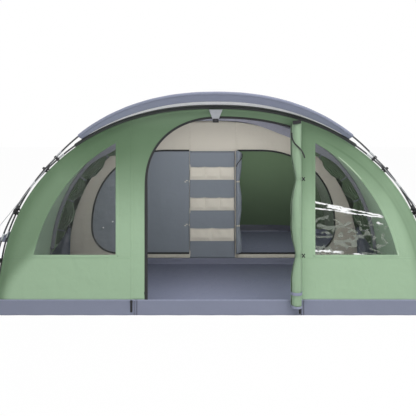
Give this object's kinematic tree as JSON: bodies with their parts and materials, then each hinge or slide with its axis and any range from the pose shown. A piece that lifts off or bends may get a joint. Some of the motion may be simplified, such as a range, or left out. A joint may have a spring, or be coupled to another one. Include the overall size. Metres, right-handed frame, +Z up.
{
  "type": "tunnel tent",
  "caption": "Family tunnel tent with arched poles, a brow over the open front door, clear windows, a living area, two bedrooms, groundsheets, pegs and guylines.",
  "frame": {"origin": "on the ground under the middle of the living area, midway between the two sides", "axes": "+Z up, +Y from the front door towards the bedrooms, +X to the right of someone facing the door"},
  "size_m": [5.207, 4.8755, 2.0745],
  "materials": {
    "green_fabric": "matt woven polyester",
    "grey_fabric": "matt woven polyester",
    "dark_fabric": "matt woven polyester",
    "beige_fabric": "matt breathable polyester",
    "slate_fabric": "matt breathable polyester",
    "curtain_fabric": "matt woven polyester",
    "groundsheet": "woven polyethylene sheet, slightly shiny",
    "clear_film": "clear soft PVC film",
    "pole": "dark glass-fibre rod",
    "black_plastic": "moulded plastic",
    "cord": "braided polyester cord",
    "steel": "zinc-plated wire"
  },
  "bodies": {
    "tent": {"pole_front_left": "pole", "pole_front_crown": "pole", "pole_front_right": "pole", "pole_brow_left": "pole", "pole_brow_crown": "pole", "pole_brow_right": "pole", "pole_middle_left": "pole", "pole_middle_right": "pole", "sleeve_middle": "grey_fabric", "pole_rear_left": "pole", "pole_rear_right": "pole", "sleeve_rear": "grey_fabric", "sleeve_front": "dark_fabric", "sleeve_brow": "grey_fabric", "front_brow": "grey_fabric", "clip_left_upper": "black_plastic", "clip_left_lower": "black_plastic", "clip_right_upper": "black_plastic", "clip_right_lower": "black_plastic", "fly_roof": "grey_fabric", "fly_wall_left": "green_fabric", "fly_wall_right": "green_fabric", "rear_panel": "green_fabric", "front_panel_left": "green_fabric", "window_left": "clear_film", "front_panel_right": "green_fabric", "window_right": "clear_film", "door_surround": "green_fabric", "skirt_left": "grey_fabric", "door_sill": "grey_fabric", "skirt_right": "grey_fabric", "front_door_rolled": "green_fabric", "peak_buckle": "slate_fabric", "inner_front_wall": "beige_fabric", "bedroom_door_right_rolled": "slate_fabric", "bedroom_canopy": "curtain_fabric", "bedroom_back_wall": "curtain_fabric", "bedroom_divider": "slate_fabric", "living_groundsheet": "groundsheet", "bedroom_groundsheet": "groundsheet", "organiser": "slate_fabric", "arch_tape": "slate_fabric", "divider_curtain_left": "curtain_fabric", "divider_curtain_right": "curtain_fabric", "guyline_left": "cord", "peg_left": "steel", "guyline_right": "cord", "peg_right": "steel"},
    "bedroom_door_left_body": {"bedroom_door_left": "slate_fabric"},
    "vent_hood_left_body": {"vent_hood_left": "grey_fabric"},
    "vent_hood_right_body": {"vent_hood_right": "grey_fabric"},
    "rear_vent_flap_body": {"rear_vent_flap": "grey_fabric"},
    "door_toggle_lower_body": {"door_toggle_lower": "black_plastic"},
    "door_toggle_upper_body": {"door_toggle_upper": "black_plastic"},
    "zip_slider_front_body": {"zip_slider_front": "black_plastic"},
    "zip_slider_bedroom_body": {"zip_slider_bedroom": "black_plastic"},
    "runner_left_body": {"runner_left": "black_plastic"},
    "runner_right_body": {"runner_right": "black_plastic"}
  },
  "joints": [
    {"name": "bedroom_door_swing", "type": "hinge", "parent": "tent", "child": "bedroom_door_left_body", "pos_m": [-0.3235, 0.87, 0.8], "axis": [0, 0, 1], "range_deg": [0, 85]},
    {"name": "vent_hood_left_fold", "type": "hinge", "parent": "tent", "child": "vent_hood_left_body", "pos_m": [-1.96303, -0.47, 0.78124], "axis": [0, -1, 0], "range_deg": [0, 25]},
    {"name": "vent_hood_right_fold", "type": "hinge", "parent": "tent", "child": "vent_hood_right_body", "pos_m": [1.96303, -0.47, 0.78124], "axis": [0, 1, 0], "range_deg": [0, 25]},
    {"name": "rear_vent_lift", "type": "hinge", "parent": "tent", "child": "rear_vent_flap_body", "pos_m": [0, 2.79702, 1.5686], "axis": [1, 0, 0], "range_deg": [0, 60]},
    {"name": "door_toggle_lower_turn", "type": "hinge", "parent": "tent", "child": "door_toggle_lower_body", "pos_m": [0.805, -0.8748, 0.592], "axis": [0, 1, 0], "range_deg": [-90, 90]},
    {"name": "door_toggle_upper_turn", "type": "hinge", "parent": "tent", "child": "door_toggle_upper_body", "pos_m": [0.805, -0.8748, 1.305], "axis": [0, 1, 0], "range_deg": [-90, 90]},
    {"name": "front_zip_slide", "type": "slide", "parent": "tent", "child": "zip_slider_front_body", "axis": [0, 0, 1], "range_m": [0, 1.02]},
    {"name": "bedroom_zip_slide", "type": "slide", "parent": "tent", "child": "zip_slider_bedroom_body", "axis": [-1, 0, 0], "range_m": [0, 0.75]},
    {"name": "runner_left_slide", "type": "slide", "parent": "tent", "child": "runner_left_body", "axis": [-0.5485, -0.3027, -0.7794], "range_m": [-0.05, 1.5]},
    {"name": "runner_right_slide", "type": "slide", "parent": "tent", "child": "runner_right_body", "axis": [0.5485, -0.3027, -0.7794], "range_m": [-0.05, 1.5]}
  ]
}
